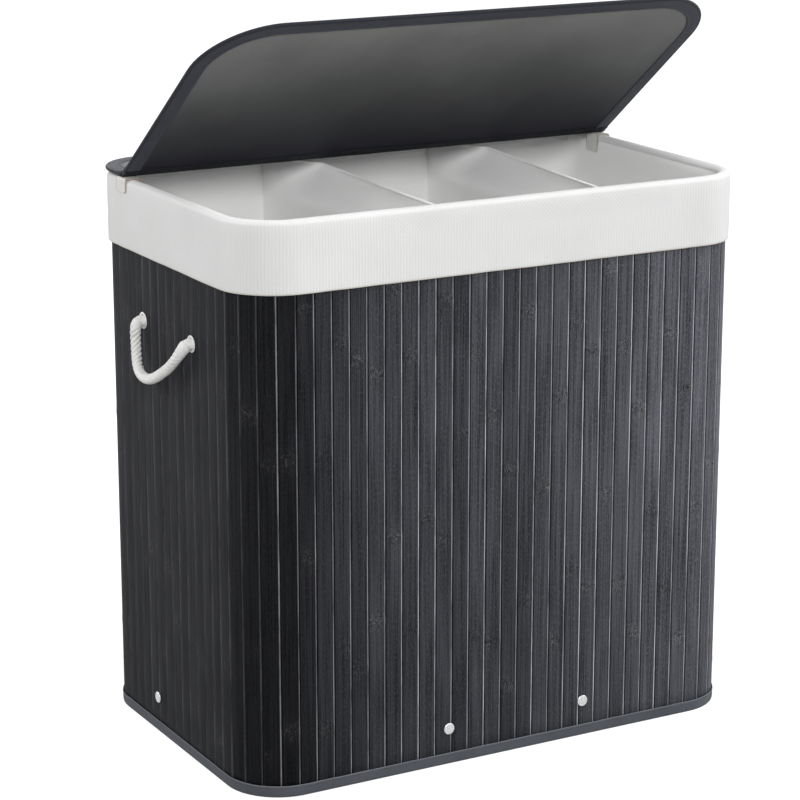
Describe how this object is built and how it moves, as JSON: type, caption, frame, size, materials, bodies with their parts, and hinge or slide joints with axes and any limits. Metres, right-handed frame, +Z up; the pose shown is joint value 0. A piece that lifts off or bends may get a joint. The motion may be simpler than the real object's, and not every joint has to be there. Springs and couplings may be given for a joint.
{
  "type": "laundry hamper with cloth liner",
  "caption": "Upright slatted bamboo laundry hamper with rounded corners, a cloth liner divided into compartments, a folding two-part lid and rope handles.",
  "frame": {"origin": "centre of the base board's underside, on the floor", "axes": "+Z up, X along the long front, the front faces -Y"},
  "size_m": [0.648, 0.3839, 0.7895],
  "materials": {
    "bamboo": "dyed bamboo slats, fine grain, low sheen",
    "binding_tape": "woven tape, matt",
    "rim_steel": "drawn wire",
    "fibreboard": "raw fibreboard",
    "stud_metal": "nickel plated, polished",
    "cotton_rope": "twisted cotton",
    "eyelet_white": "moulded, satin",
    "white_cloth": "twill cloth",
    "lid_cover_cloth": "coated cloth, low sheen",
    "lid_lining_cloth": "nonwoven lining, matt",
    "clip_plastic": "moulded, satin"
  },
  "bodies": {
    "root": {"slat_mat": "bamboo", "base_binding": "binding_tape", "rim_binding": "binding_tape", "rim_wire": "rim_steel", "base_board": "fibreboard", "base_flap_front": "fibreboard", "base_flap_back": "fibreboard", "base_flap_left": "fibreboard", "base_flap_right": "fibreboard", "press_stud_front_1": "stud_metal", "press_stud_front_2": "stud_metal", "press_stud_back_1": "stud_metal", "press_stud_back_2": "stud_metal", "press_stud_left": "stud_metal", "press_stud_right": "stud_metal", "stud_socket_front_1": "stud_metal", "stud_socket_front_2": "stud_metal", "stud_socket_back_1": "stud_metal", "stud_socket_back_2": "stud_metal", "stud_socket_left": "stud_metal", "stud_socket_right": "stud_metal", "rope_end_left_front": "cotton_rope", "rope_end_left_rear": "cotton_rope", "rope_end_right_front": "cotton_rope", "rope_end_right_rear": "cotton_rope", "rope_eyelet_left_front": "eyelet_white", "rope_eyelet_left_rear": "eyelet_white", "rope_eyelet_right_front": "eyelet_white", "rope_eyelet_right_rear": "eyelet_white", "liner_cuff": "white_cloth", "liner_wall": "white_cloth", "liner_bottom": "white_cloth", "liner_partition_left": "white_cloth", "liner_partition_right": "white_cloth"},
    "lid_rear": {"lid_rear_lining": "lid_lining_cloth", "lid_rear_board": "fibreboard", "lid_rear_cover": "lid_cover_cloth", "lid_rear_binding": "binding_tape", "lid_fold": "binding_tape", "rim_clip_left": "clip_plastic", "rim_clip_right": "clip_plastic"},
    "lid_front": {"lid_front_lining": "lid_lining_cloth", "lid_front_board": "fibreboard", "lid_front_cover": "lid_cover_cloth", "lid_front_binding": "binding_tape"},
    "handle_left": {"rope_handle_left": "cotton_rope"},
    "handle_right": {"rope_handle_right": "cotton_rope"}
  },
  "joints": [
    {"name": "lid_lift", "type": "slide", "parent": "root", "child": "lid_rear", "axis": [0, 0, 1], "range_m": [0, 0.06]},
    {"name": "lid_hinge", "type": "hinge", "parent": "lid_rear", "child": "lid_front", "pos_m": [0, 0.102, 0.61085], "axis": [-1, 0, 0], "range_deg": [-37.5, 135]},
    {"name": "handle_left_swing", "type": "hinge", "parent": "root", "child": "handle_left", "pos_m": [-0.31, 0, 0.459], "axis": [0, 1, 0], "range_deg": [0, 150]},
    {"name": "handle_right_swing", "type": "hinge", "parent": "root", "child": "handle_right", "pos_m": [0.31, 0, 0.459], "axis": [0, -1, 0], "range_deg": [0, 150]}
  ]
}
